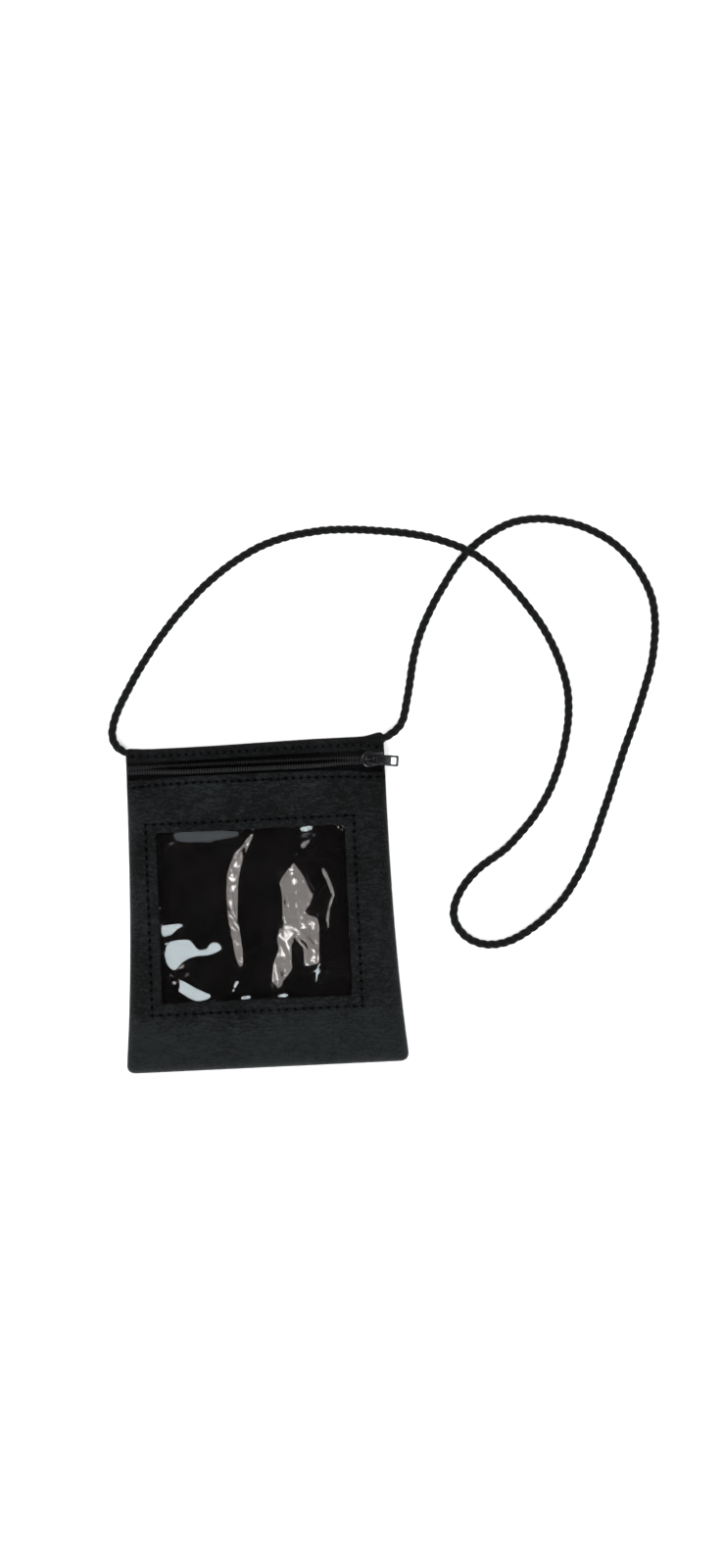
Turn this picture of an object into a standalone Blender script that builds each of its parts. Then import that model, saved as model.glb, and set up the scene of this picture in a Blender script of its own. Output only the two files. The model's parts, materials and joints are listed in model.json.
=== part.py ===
"""Neck pouch wallet: a flat leather pouch with a clear window, an inset coil zip and a cord round the neck.

The pouch lies on its back on the plane z = 0, window up. +X runs along the zip, +Y towards the zip's edge.
The zip is open: its slider stands at the right end and closes the mouth as it moves towards -X.
"""
import math

import bmesh
import bpy
from mathutils import Vector

# ---- driving dimensions, in metres ----
MM = 0.001
GAP = 0.3 * MM              # clearance between pieces that touch on the real pouch
LEATHER = 1.2 * MM

TOP_Y = 85.0 * MM           # outline of the panels
BOTTOM_Y = -87.4 * MM
HALF_WIDTH = 69.2 * MM
FLARE = 5.7 * MM            # how much wider each side is at the bottom
TOP_CORNER = 3.0 * MM
BOTTOM_CORNER = 5.0 * MM

SEAM_Z = 3.2 * MM           # height of the side, bottom and top seams
WALL = 0.8 * MM             # straight height of each panel at the seam
POCKET_Z = 8.3 * MM         # top of the front panel over the pocket
FOLD_Z = 5.1 * MM           # top of the front panel at the zip, with the zip closed
FOLD_Y = 67.0 * MM          # folded edge of the front panel
LIP_Y = 46.0 * MM           # the front panel bends between here and its folded edge
LIP_RISE = 7.0 * MM         # how far the open mouth gapes at mid length
LIP_LEFT = -62.0 * MM       # where the gape starts and ends along the zip
LIP_RIGHT = 54.0 * MM
LIP_RAMP = 28.0 * MM
STRIP_Y = 77.8 * MM         # folded edge of the leather strip above the zip
STRIP_Z = 4.9 * MM

WINDOW = (-54.0 * MM, -51.2 * MM, 46.5 * MM, 39.0 * MM)        # cut-out: left, low, right, high
SHEET = (-62.0 * MM, -60.5 * MM, 54.0 * MM, 45.8 * MM)         # clear sheet behind it
SHEET_THICK = 0.3 * MM

COIL_R = 1.1 * MM
COIL_Z = 3.2 * MM
COIL_PITCH = 2.7 * MM       # each ridge stands for two turns
COIL_LEFT = -66.0 * MM
COIL_RIGHT = 66.6 * MM
REAR_COIL_Y = 74.3 * MM
FRONT_COIL_OPEN_Y = 70.2 * MM
FRONT_COIL_SHUT_Y = 71.8 * MM
TAPE = 0.4 * MM
TAPE_X = 66.6 * MM          # half length of the rear tape
FRONT_TAPE_X = 63.5 * MM
FRONT_TAPE_Y = 60.0 * MM
REAR_TAPE_Y = 81.5 * MM

SLIDER_X = 61.1 * MM        # centre of the slider's round nose
SLIDER_Y = 73.05 * MM
PLATE = 0.7 * MM
UNDER_PLATE = 0.45 * MM
CHANNEL = 1.3 * MM          # half height of the slider's channel
NOSE_R = 4.4 * MM
PIVOT_X = -0.7 * MM         # pull tab's pivot, from the slider's origin
PIVOT_Z = 2.75 * MM
TAB_SKEW = math.radians(-7.0)
TAB_THICK = 0.9 * MM
TAB_LENGTH = 16.2 * MM

THREAD_R = 0.25 * MM
WINDOW_STITCH = (-59.2 * MM, -57.0 * MM, 51.1 * MM, 43.2 * MM)
FRONT_STITCH_Y = 64.0 * MM
REAR_STITCH_Y = 80.5 * MM
SEAM_INSET = 2.7 * MM

CORD_R = 2.0 * MM
CORD_STEP = 12.6 * MM       # spacing of the cord solid's points
CORD_OVER = 4.5 * MM        # lift of the upper run where the cord crosses itself
# Route of the cord's centre on the table, from the left top corner round to the right one, in millimetres.
CORD_ROUTE = [
    (-70.9, 83.7), (-74.9, 87.6), (-76.2, 95.0), (-71.7, 108.0), (-56.5, 133.5), (-38.0, 157.0),
    (-16.0, 177.5), (10.0, 192.5), (39.0, 198.5), (69.0, 197.5), (98.5, 192.0), (125.5, 179.0),
    (146.5, 157.5), (162.0, 132.0), (169.5, 103.5), (165.5, 74.0), (153.5, 46.5), (134.0, 24.0),
    (116.0, 11.5), (105.0, -1.5), (102.0, -13.5), (107.5, -23.5), (118.5, -28.5), (131.5, -27.0),
    (145.5, -19.5), (160.0, -7.0), (173.5, 13.0), (185.5, 40.5), (196.5, 68.5), (208.0, 96.5),
    (217.0, 125.0), (217.5, 154.5), (203.0, 180.5), (178.0, 196.0), (148.0, 199.0), (122.0, 185.5),
    (103.5, 162.0), (90.0, 135.5), (83.2, 106.0), (80.0, 93.5), (76.0, 88.0), (71.0, 84.9),
]
CROSSING = (120.0, 182.9)   # where the run from the left corner passes over the other, in millimetres
HUMP_HALF = 45.0 * MM       # half length of the hump there


# ---- scene ----
for old in list(bpy.data.objects):
    bpy.data.objects.remove(old, do_unlink=True)

parts = bpy.data.collections.new("neck_pouch_wallet")
cutters = bpy.data.collections.new("cutters")
bpy.context.scene.collection.children.link(parts)
bpy.context.scene.collection.children.link(cutters)


def material(name, colour, roughness, metallic=0.0, alpha=1.0):
    """A Principled material."""
    made = bpy.data.materials.new(name)
    made.use_nodes = True
    shader = made.node_tree.nodes["Principled BSDF"]
    shader.inputs["Base Color"].default_value = (*colour, 1.0)
    shader.inputs["Roughness"].default_value = roughness
    shader.inputs["Metallic"].default_value = metallic
    shader.inputs["Alpha"].default_value = alpha
    return made


LEATHER_FRONT = material("leather_front", (0.022, 0.024, 0.024), 0.55)
LEATHER_BACK = material("leather_back", (0.022, 0.023, 0.023), 0.58)
LEATHER_STRIP = material("leather_strip", (0.024, 0.025, 0.026), 0.55)
VINYL = material("clear_vinyl", (0.85, 0.86, 0.88), 0.08, alpha=0.25)
NYLON_TAPE = material("nylon_tape", (0.012, 0.012, 0.013), 0.85)
NYLON_COIL = material("nylon_coil", (0.03, 0.03, 0.033), 0.4)
ENAMEL = material("black_enamel", (0.02, 0.02, 0.024), 0.25, metallic=0.6)
TAB_METAL = material("worn_tab", (0.04, 0.04, 0.045), 0.35, metallic=0.7)
THREAD = material("black_thread", (0.01, 0.01, 0.011), 0.7)
CORD = material("twisted_cord", (0.012, 0.012, 0.012), 0.65)


# ---- helpers ----
def smooth(value):
    """Smoothstep of a value, held between 0 and 1."""
    t = min(1.0, max(0.0, value))
    return t * t * (3.0 - 2.0 * t)


def half_width(y):
    """Half width of the panels: straight sides that flare towards the bottom."""
    down = (TOP_Y - y) / (TOP_Y - BOTTOM_Y)
    return HALF_WIDTH + FLARE * down ** 3


def bend(y):
    """Share of the lip's bend that the front panel has made at y."""
    return smooth((y - LIP_Y) / (FOLD_Y - LIP_Y))


def gape(x):
    """Share of the mouth's gape at x: none at the two ends of the zip, all of it at mid length."""
    return smooth((x - LIP_LEFT) / LIP_RAMP) * smooth((LIP_RIGHT - x) / LIP_RAMP)


def front_top(x, y):
    """Height of the front panel's top face near the zip, away from its sides."""
    return POCKET_Z - (POCKET_Z - FOLD_Z) * bend(y) + LIP_RISE * bend(y) * gape(x)


def front_coil_y(x):
    """The front coil lies apart from the rear one up to the slider, which draws it in."""
    drawn = smooth((x - SLIDER_X + 1.2 * MM) / (2.6 * MM))
    return FRONT_COIL_OPEN_Y + (FRONT_COIL_SHUT_Y - FRONT_COIL_OPEN_Y) * drawn


def finish(obj, mat):
    """Gives an object its material and puts it in the parts collection."""
    obj.data.materials.clear()
    obj.data.materials.append(mat)
    parts.objects.link(obj)
    return obj


def mesh_object(name, bm):
    """A new, unlinked object made from a bmesh, which is freed."""
    mesh = bpy.data.meshes.new(name)
    bm.to_mesh(mesh)
    bm.free()
    return bpy.data.objects.new(name, mesh)


def box(name, low, high, round_edges=0.0):
    """A box between two corners, with its origin at its centre."""
    low, high = Vector(low), Vector(high)
    bm = bmesh.new()
    bmesh.ops.create_cube(bm, size=1.0)
    bmesh.ops.scale(bm, vec=high - low, verts=bm.verts)
    obj = mesh_object(name, bm)
    obj.location = (low + high) / 2
    if round_edges:
        bevel = obj.modifiers.new("rounded", "BEVEL")
        bevel.width = round_edges
        bevel.segments = 2
    return obj


def plate(name, outline, holes, z_low, z_high):
    """A flat plate with holes from 2D outlines, as a mesh."""
    curve = bpy.data.curves.new(name, "CURVE")
    curve.dimensions = "2D"
    curve.fill_mode = "BOTH"
    curve.extrude = (z_high - z_low) / 2
    for loop in [outline] + holes:
        spline = curve.splines.new("POLY")
        spline.points.add(len(loop) - 1)
        for point, (x, y) in zip(spline.points, loop):
            point.co = (x, y, 0.0, 1.0)
        spline.use_cyclic_u = True
    drawn = bpy.data.objects.new(name + "_outline", curve)
    bpy.context.scene.collection.objects.link(drawn)
    graph = bpy.context.evaluated_depsgraph_get()
    mesh = bpy.data.meshes.new_from_object(drawn.evaluated_get(graph))
    bpy.data.objects.remove(drawn, do_unlink=True)
    bm = bmesh.new()
    bm.from_mesh(mesh)
    bpy.data.meshes.remove(mesh)
    bmesh.ops.remove_doubles(bm, verts=bm.verts, dist=0.00001)
    bmesh.ops.translate(bm, verts=bm.verts, vec=(0.0, 0.0, (z_low + z_high) / 2))
    return mesh_object(name, bm)


def tube(name, points, radius, sides=1, closed=False, radii=None):
    """A round bar along points: a bevelled curve with filled caps."""
    curve = bpy.data.curves.new(name, "CURVE")
    curve.dimensions = "3D"
    curve.bevel_depth = radius
    curve.bevel_resolution = sides
    curve.use_fill_caps = True
    spline = curve.splines.new("POLY")
    spline.points.add(len(points) - 1)
    for index, (point, place) in enumerate(zip(spline.points, points)):
        point.co = (*place, 1.0)
        point.radius = radii[index] if radii else 1.0
    spline.use_cyclic_u = closed
    return bpy.data.objects.new(name, curve)


def combine(obj, other, operation):
    """Joins another object, placed in obj's own frame, to obj, or cuts it away, and keeps it with the cutters."""
    cutters.objects.link(other)
    other.parent = obj
    other.hide_render = True
    other.display_type = "WIRE"
    boolean = obj.modifiers.new(operation.lower(), "BOOLEAN")
    boolean.operation = operation
    boolean.object = other
    boolean.solver = "EXACT"


def arc(centre, radius, start, end, steps):
    """Points on a circular arc, angles in degrees."""
    turns = [math.radians(start + (end - start) * i / steps) for i in range(steps + 1)]
    return [(centre[0] + radius * math.cos(t), centre[1] + radius * math.sin(t)) for t in turns]


def panel_outline():
    """Outline of the pouch, counter-clockwise from the bottom left corner."""
    right = half_width(BOTTOM_Y) - BOTTOM_CORNER
    low = BOTTOM_Y + BOTTOM_CORNER
    top = TOP_Y - TOP_CORNER
    side = [(half_width(y), y) for y in (-62 * MM, -35 * MM, 0.0, 40 * MM)]
    points = arc((-right, low), BOTTOM_CORNER, 180, 270, 3)
    points += arc((right, low), BOTTOM_CORNER, 270, 360, 3)
    points += side
    points += arc((HALF_WIDTH - TOP_CORNER, top), TOP_CORNER, 0, 90, 3)
    points += arc((TOP_CORNER - HALF_WIDTH, top), TOP_CORNER, 90, 180, 3)
    points += [(-x, y) for x, y in reversed(side)]
    return points


def panel_surface(seam_z, upward, steps):
    """The outer surface of a panel: an outline with a straight wall at the seam, then inset step by step."""
    direction = 1.0 if upward else -1.0
    bm = bmesh.new()
    outline = panel_outline()
    if not upward:
        outline.reverse()
    face = bm.faces.new([bm.verts.new((x, y, seam_z + direction * WALL)) for x, y in outline])
    face.normal_update()
    for inset, rise in steps:
        bmesh.ops.inset_region(bm, faces=[face], thickness=inset, depth=rise,
                               use_boundary=True, use_even_offset=True)
    rim = [edge for edge in bm.edges if edge.is_boundary]
    wall = bmesh.ops.extrude_edge_only(bm, edges=rim)
    lower = [item for item in wall["geom"] if isinstance(item, bmesh.types.BMVert)]
    bmesh.ops.translate(bm, verts=lower, vec=(0.0, 0.0, -direction * WALL))
    return bm


def split(bm, y=None, x=None, keep_below=False, keep_above=False):
    """Cuts the surface along a line of constant x or y, and can drop what lies on one side."""
    bmesh.ops.bisect_plane(
        bm, geom=bm.verts[:] + bm.edges[:] + bm.faces[:], dist=0.000001,
        plane_co=(x or 0.0, y or 0.0, 0.0), plane_no=(1, 0, 0) if y is None else (0, 1, 0),
        clear_outer=keep_below, clear_inner=keep_above)


def thicken(obj, thickness):
    """Gives a surface its leather's thickness, inwards."""
    solidify = obj.modifiers.new("leather", "SOLIDIFY")
    solidify.thickness = thickness
    solidify.offset = -1.0
    solidify.use_even_offset = True


def strip_sheet(name, x_low, x_high, columns, y_low, y_high, rows, top, thickness):
    """A thin sheet whose edges and height are functions of x: y_low(x), y_high(x), top(x, y)."""
    bm = bmesh.new()
    bmesh.ops.create_grid(bm, x_segments=columns, y_segments=rows, size=0.5)
    for vert in bm.verts:
        x = x_low + (x_high - x_low) * (vert.co.x + 0.5)
        y = y_low(x) + (y_high(x) - y_low(x)) * (vert.co.y + 0.5)
        vert.co = (x, y, top(x, y))
    obj = mesh_object(name, bm)
    thicken(obj, thickness)
    return obj


# ---- leather panels ----
def back_panel():
    bm = panel_surface(SEAM_Z, False, [(0.5 * MM, 1.0 * MM), (0.9 * MM, 0.9 * MM), (1.3 * MM, 0.5 * MM)])
    obj = mesh_object("back_panel", bm)
    thicken(obj, LEATHER)
    return finish(obj, LEATHER_BACK)


def front_panel():
    seam = SEAM_Z + GAP
    rise = POCKET_Z - seam - WALL
    steps = [(0.5 * MM, 0.40 * rise), (1.0 * MM, 0.31 * rise), (1.5 * MM, 0.20 * rise), (1.8 * MM, 0.09 * rise)]
    bm = panel_surface(seam, True, steps)
    split(bm, y=FOLD_Y, keep_below=True)
    for y in (LIP_Y, 51 * MM, 56 * MM, 61.5 * MM):
        split(bm, y=y)
    for x in (-62, -52, -43, -34, 26, 35, 44, 54):
        split(bm, x=x * MM)
    for vert in bm.verts:
        x, y, z = vert.co
        full = front_top(x, y)
        vert.co.z = seam + (z - seam) * (full - seam) / (POCKET_Z - seam)
    obj = mesh_object("front_panel", bm)
    thicken(obj, LEATHER)
    left, low, right, high = WINDOW
    combine(obj, box("window_cutter", (left, low, 0.0), (right, high, 20 * MM)), "DIFFERENCE")
    return finish(obj, LEATHER_FRONT)


def top_strip():
    low = STRIP_Z - LEATHER
    bm = bmesh.new()
    bm.faces.new([bm.verts.new((x, y, low)) for x, y in panel_outline()])
    split(bm, y=STRIP_Y, keep_above=True)
    lifted = bmesh.ops.extrude_face_region(bm, geom=bm.faces[:])
    top = [item for item in lifted["geom"] if isinstance(item, bmesh.types.BMVert)]
    bmesh.ops.translate(bm, verts=top, vec=(0.0, 0.0, LEATHER))
    bmesh.ops.recalc_face_normals(bm, faces=bm.faces[:])
    obj = mesh_object("top_strip", bm)
    bevel = obj.modifiers.new("rounded", "BEVEL")
    bevel.width = 0.35 * MM
    bevel.segments = 2
    return finish(obj, LEATHER_STRIP)


def window_sheet():
    left, low, right, high = SHEET
    top = POCKET_Z - LEATHER - GAP
    return finish(box("window_sheet", (left, low, top - SHEET_THICK), (right, high, top)), VINYL)


# ---- zip ----
def zip_tapes():
    def front_tape_top(x, y):
        return front_top(x, min(y, FOLD_Y)) - LEATHER - 0.5 * MM

    front = strip_sheet("zip_tape_front", -FRONT_TAPE_X, FRONT_TAPE_X, 24, lambda x: FRONT_TAPE_Y,
                        lambda x: FRONT_COIL_OPEN_Y - COIL_R - GAP, 3, front_tape_top, TAPE)
    rear = strip_sheet("zip_tape_rear", -TAPE_X, TAPE_X, 1, lambda x: REAR_COIL_Y + COIL_R + GAP,
                       lambda x: REAR_TAPE_Y, 1, lambda x, y: COIL_Z + TAPE / 2, TAPE)
    finish(front, NYLON_TAPE)
    finish(rear, NYLON_TAPE)


def zip_coils():
    count = 2 * round((COIL_RIGHT - COIL_LEFT) / COIL_PITCH)
    places = [COIL_LEFT + (COIL_RIGHT - COIL_LEFT) * i / count for i in range(count + 1)]
    ridges = [1.0 if i % 2 else 0.8 for i in range(count + 1)]
    front = [(x, front_coil_y(x), COIL_Z + LIP_RISE * gape(x)) for x in places]
    rear = [(x, REAR_COIL_Y, COIL_Z) for x in places]
    finish(tube("zip_coil_front", front, COIL_R, radii=ridges), NYLON_COIL)
    finish(tube("zip_coil_rear", rear, COIL_R, radii=ridges), NYLON_COIL)


def slider_body():
    """Two plates joined by a post at the nose, with flanges round the coils and a bail on top."""
    nose = arc((0.0, 0.0), NOSE_R, 105, 255, 10)
    tail = [(4.2 * MM, -3.5 * MM), (6.9 * MM, -3.8 * MM), (7.3 * MM, -3.3 * MM)]
    outline = nose + tail + [(x, -y) for x, y in reversed(tail)]
    short = [(min(x, 5.0 * MM) * 0.96, y * 0.96) for x, y in outline]
    obj = plate("slider_body", outline, [], CHANNEL, CHANNEL + PLATE)
    combine(obj, plate("slider_underside", short, [], -CHANNEL - UNDER_PLATE, -CHANNEL), "UNION")
    reach = CHANNEL + 0.3 * MM
    post = box("slider_post", (-3.5 * MM, -1.05 * MM, -reach), (-1.5 * MM, -0.15 * MM, reach))
    combine(obj, post, "UNION")
    slot = 0.5 * MM
    front_wall = FRONT_COIL_SHUT_Y - COIL_R - GAP - SLIDER_Y
    rear_wall = REAR_COIL_Y + COIL_R + GAP - SLIDER_Y
    for name, y_low, y_high in (("front", -3.35 * MM, front_wall), ("rear", rear_wall, 3.35 * MM)):
        for level, z_low, z_high in (("upper", slot, reach), ("lower", -reach, -slot)):
            flange = box(f"flange_{name}_{level}", (1.9 * MM, y_low, z_low), (5.4 * MM, y_high, z_high))
            combine(obj, flange, "UNION")
    for name, low, high in (
        ("bail_front_foot", (-2.9, -0.8, 1.8), (-1.7, 0.8, 4.4)),
        ("bail_rear_foot", (2.2, -0.8, 1.8), (3.4, 0.8, 4.4)),
        ("bail_bar", (-2.5, -0.799, 3.6), (3.0, 0.799, 4.3)),
    ):
        combine(obj, box(name, Vector(low) * MM, Vector(high) * MM, 0.15 * MM), "UNION")
    obj.location = (SLIDER_X, SLIDER_Y, COIL_Z)
    return finish(obj, ENAMEL)


def pull_tab(slider):
    """A thin plate with an eye for the bail and a rectangular hole at its free end."""
    bar = TAB_THICK / 2
    end = TAB_LENGTH
    outline = [(-bar, -2.4 * MM), (6.0 * MM, -2.7 * MM), (end - 0.6 * MM, -2.95 * MM), (end, -2.4 * MM)]
    outline += [(x, -y) for x, y in reversed(outline)]
    eye = [(bar, -1.6 * MM), (4.9 * MM, -1.6 * MM), (4.9 * MM, 1.6 * MM), (bar, 1.6 * MM)]
    hole = [(end - 4.1 * MM, -2.05 * MM), (end - 0.9 * MM, -2.05 * MM)]
    hole += [(x, -y) for x, y in reversed(hole)]
    obj = plate("pull_tab", outline, [eye, hole], -bar, bar)
    pivot = bpy.data.objects.new("pull_tab_pivot", None)
    parts.objects.link(pivot)
    pivot.parent = slider
    pivot.location = (PIVOT_X, 0.0, PIVOT_Z)
    pivot.rotation_euler = (0.0, 0.0, TAB_SKEW)
    obj.parent = pivot
    return finish(obj, TAB_METAL)


# ---- threads ----
def stitching():
    left, low, right, high = WINDOW_STITCH
    lift = GAP + THREAD_R
    corners = [(right, low), (right, high), (left, high), (left, low)]
    window = [(x, y, POCKET_Z + lift) for x, y in corners]
    finish(tube("window_stitching", window, THREAD_R, 0, closed=True), THREAD)
    xs = [i * 5.5 * MM for i in range(-12, 13)]
    front = [(x, FRONT_STITCH_Y, front_top(x, FRONT_STITCH_Y) + lift + 0.2 * MM) for x in xs[1:-1]]
    finish(tube("zip_stitching_front", front, THREAD_R, 0), THREAD)
    rear = [(x, REAR_STITCH_Y, STRIP_Z + lift) for x in xs[::12]]
    finish(tube("zip_stitching_rear", rear, THREAD_R, 0), THREAD)


def seam_threads():
    z = SEAM_Z + GAP / 2
    for name, side in (("seam_thread_left", -1), ("seam_thread_right", 1)):
        ys = [(-78 + 14 * i) * MM for i in range(11)]
        points = [(side * (half_width(y) - SEAM_INSET), y, z) for y in ys]
        finish(tube(name, points, THREAD_R, 0), THREAD)
    for name, y, reach in (
        ("seam_thread_bottom", BOTTOM_Y + SEAM_INSET, 66 * MM),
        ("seam_thread_top", TOP_Y - 2.1 * MM, 58 * MM),
    ):
        level = z if y < 0 else z - 0.9 * MM
        finish(tube(name, [(-reach, y, level), (0.0, y, level), (reach, y, level)], THREAD_R, 0), THREAD)


# ---- cord ----
def cord_points():
    """A smooth curve through the route, with a long low hump where the cord passes over itself."""
    route = [Vector((x * MM, y * MM)) for x, y in CORD_ROUTE]
    route = [2 * route[0] - route[1]] + route + [2 * route[-1] - route[-2]]
    fine = []
    for a, b, c, d in zip(route, route[1:], route[2:], route[3:]):
        for i in range(16):
            t = i / 16
            fine.append(0.5 * (2 * b + (c - a) * t + (2 * a - 5 * b + 4 * c - d) * t * t
                               + (3 * b - a - 3 * c + d) * t ** 3))
    fine.append(route[-2])
    run = [0.0]
    for a, b in zip(fine, fine[1:]):
        run.append(run[-1] + (b - a).length)
    crossing = Vector(CROSSING) * MM
    half = len(fine) // 2
    over = run[min(range(half), key=lambda i: (fine[i] - crossing).length)]
    count = round(run[-1] / CORD_STEP)
    points = []
    index = 0
    for k in range(count + 1):
        s = run[-1] * k / count
        while index < len(run) - 2 and run[index + 1] < s:
            index += 1
        share = (s - run[index]) / (run[index + 1] - run[index])
        x, y = fine[index].lerp(fine[index + 1], min(1.0, share))
        lift = CORD_OVER * smooth(1.0 - abs(s - over) / HUMP_HALF)
        points.append((x, y, CORD_R + 0.02 * MM + lift))
    return points


def neck_cord():
    finish(tube("neck_cord", cord_points(), CORD_R, 2), CORD)
    for name, side in (("cord_anchor_left", -1), ("cord_anchor_right", 1)):
        low = Vector((62.0 * MM, 78.6 * MM, 1.5 * MM))
        high = Vector((67.2 * MM, 82.4 * MM, 2.7 * MM))
        if side < 0:
            low.x, high.x = -high.x, -low.x
        finish(box(name, low, high, 0.3 * MM), CORD)


back_panel()
front_panel()
top_strip()
window_sheet()
zip_tapes()
zip_coils()
pull_tab(slider_body())
stitching()
seam_threads()
neck_cord()
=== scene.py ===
"""Looks of the neck pouch wallet: leather, clear vinyl, coil zip, slider and twisted cord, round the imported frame."""
import json
import math

import bmesh
import bpy
import numpy as np
from mathutils import Matrix, Vector, noise


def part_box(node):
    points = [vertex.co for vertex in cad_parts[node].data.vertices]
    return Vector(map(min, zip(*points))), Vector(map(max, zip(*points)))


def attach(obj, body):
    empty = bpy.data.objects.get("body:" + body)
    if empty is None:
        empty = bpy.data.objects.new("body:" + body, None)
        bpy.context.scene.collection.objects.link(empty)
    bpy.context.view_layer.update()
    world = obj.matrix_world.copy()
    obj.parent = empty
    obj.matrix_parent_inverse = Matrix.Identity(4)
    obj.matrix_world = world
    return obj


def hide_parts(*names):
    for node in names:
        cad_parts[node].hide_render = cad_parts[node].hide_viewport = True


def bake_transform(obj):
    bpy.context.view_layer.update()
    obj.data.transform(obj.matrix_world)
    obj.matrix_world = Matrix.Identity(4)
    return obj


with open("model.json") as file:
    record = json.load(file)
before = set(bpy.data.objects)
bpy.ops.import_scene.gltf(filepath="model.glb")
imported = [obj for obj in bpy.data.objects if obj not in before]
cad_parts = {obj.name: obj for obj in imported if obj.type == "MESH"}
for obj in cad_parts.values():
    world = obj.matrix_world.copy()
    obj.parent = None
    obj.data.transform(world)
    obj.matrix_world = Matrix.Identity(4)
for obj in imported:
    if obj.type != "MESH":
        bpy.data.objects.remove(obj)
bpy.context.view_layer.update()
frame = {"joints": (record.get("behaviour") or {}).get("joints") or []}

MM = 0.001
scene = bpy.context.scene
scene.view_settings.view_transform = "Standard"

# ---- places read from the frame ----
back_low, back_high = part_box("back_panel")
front_low, front_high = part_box("front_panel")
strip_low, strip_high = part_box("top_strip")
sheet_low, sheet_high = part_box("window_sheet")
stitch_low, stitch_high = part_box("window_stitching")
rear_coil_low, rear_coil_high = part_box("zip_coil_rear")
rear_tape_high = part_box("zip_tape_rear")[1]
slider_low, slider_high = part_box("slider_body")
joints = {joint["name"]: joint for joint in frame["joints"]}
lip_shift = Vector(joints["lip_close"]["axis"]) * joints["lip_close"]["range_m"][1]

BOTTOM_Y, TOP_Y = back_low.y, back_high.y
BOTTOM_HALF = back_high.x
TOP_HALF = strip_high.x
SEAM_Z = back_high.z
POCKET_Z = sheet_high.z + 1.5 * MM
FOLD_Y = front_high.y
LIP_Y = sheet_high.y + 0.2 * MM
LIP_RISE = -lip_shift.z
LIP_LEFT = -62 * MM
LIP_RIGHT = 54 * MM
LIP_RAMP = 28 * MM
FOLD_Z = front_high.z - LIP_RISE
LEATHER = 1.2 * MM
COIL_Z = (rear_coil_low.z + rear_coil_high.z) / 2
REAR_COIL_Y = (rear_coil_low.y + rear_coil_high.y) / 2
FRONT_COIL_SHUT_Y = REAR_COIL_Y - 2.5 * MM
COIL_LEFT = rear_coil_low.x - 2.2 * MM
COIL_RIGHT = rear_coil_high.x + 1.0 * MM
STITCH = 4.4 * MM            # pitch of the stitching round the window
ZIP_STITCH = 4.07 * MM       # and of that along the zip
WINDOW_HEM = 4.7 * MM        # from the window's edge to its stitching


# Lamps by name: the direction that each lies in, its strength in W/m2, its breadth in degrees and its colour.
# The first four light the table; the others are small soft cards that show in the vinyl.
LAMPS = {
    "high_left": ((-0.66, 0.35, 0.62), 2.2, 30, (1.0, 0.99, 0.97)),
    "high_right": ((0.70, 0.30, 0.60), 1.9, 30, (1.0, 0.99, 0.98)),
    "low_left": ((-0.45, -0.66, 0.60), 3.0, 30, (0.97, 0.99, 1.0)),
    "low_right": ((0.50, -0.64, 0.62), 2.4, 30, (0.97, 0.99, 1.0)),
    "left": ((-0.265, -0.01, 0.964), 0.078, 10.5, (1.0, 0.93, 0.88)),
    "left_core_a": ((-0.255, 0.035, 0.964), 0.016, 2.2, (1.0, 0.96, 0.93)),
    "left_core_b": ((-0.240, -0.045, 0.968), 0.012, 1.9, (1.0, 0.96, 0.93)),
    "front": ((-0.073, -0.215, 0.974), 0.23, 10.5, (0.86, 0.97, 1.0)),
    "rear": ((-0.073, 0.17, 0.98), 0.02, 9.0, (0.85, 0.93, 1.0)),
}


# ---- camera ----
def add_camera():
    """A camera 0.8 m above the table, a little in front, turned so that the zip climbs slightly to the right."""
    eye = Vector((0.05388, 0.0045, 0.79805))
    target = Vector((0.05651, 0.06025, 0.0))
    right = Vector((math.cos(math.radians(2.7)), -math.sin(math.radians(2.7)), 0.0))
    back = (eye - target).normalized()
    up = back.cross(right).normalized()
    right = up.cross(back)
    data = bpy.data.cameras.new("camera")
    data.sensor_width = 36.0
    data.lens = 34.2
    data.clip_start = 0.05
    camera = bpy.data.objects.new("camera", data)
    turn = Matrix((right, up, back)).transposed().to_4x4()
    camera.matrix_world = Matrix.Translation(eye) @ turn
    scene.collection.objects.link(camera)
    scene.camera = camera


# ---- meshes ----
def link_mesh(name, points, faces, rounded=True):
    """A new mesh object from points and faces."""
    mesh = bpy.data.meshes.new(name)
    mesh.from_pydata([tuple(p) for p in points], [], [tuple(f) for f in faces])
    mesh.update()
    if rounded:
        mesh.shade_smooth()
    obj = bpy.data.objects.new(name, mesh)
    scene.collection.objects.link(obj)
    return obj


def grid(low, high, rows, columns):
    """Places along x and shares across, over a grid of points."""
    return np.meshgrid(np.linspace(low, high, rows), np.linspace(0, 1, columns), indexing="ij")


def grid_faces(rows, columns, wrap_rows=False, wrap_columns=False, first=0):
    """Quads over a grid of points numbered row by row."""
    i = np.arange(rows if wrap_rows else rows - 1)
    j = np.arange(columns if wrap_columns else columns - 1)
    i, j = np.meshgrid(i, j, indexing="ij")
    a = i * columns + j
    b = i * columns + (j + 1) % columns
    c = ((i + 1) % rows) * columns + (j + 1) % columns
    d = ((i + 1) % rows) * columns + j
    return (np.stack([a, b, c, d], -1).reshape(-1, 4) + first).tolist()


def unit(vectors):
    """The same directions at length 1."""
    return vectors / np.maximum(np.linalg.norm(vectors, axis=-1, keepdims=True), 1e-12)


def surface_normals(points, wrap_rows=False):
    """Unit normals of a grid of points, rows x columns x 3."""
    if wrap_rows:
        along = np.roll(points, -1, 0) - np.roll(points, 1, 0)
    else:
        along = np.gradient(points, axis=0)
    return unit(np.cross(along, np.gradient(points, axis=1)))


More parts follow.
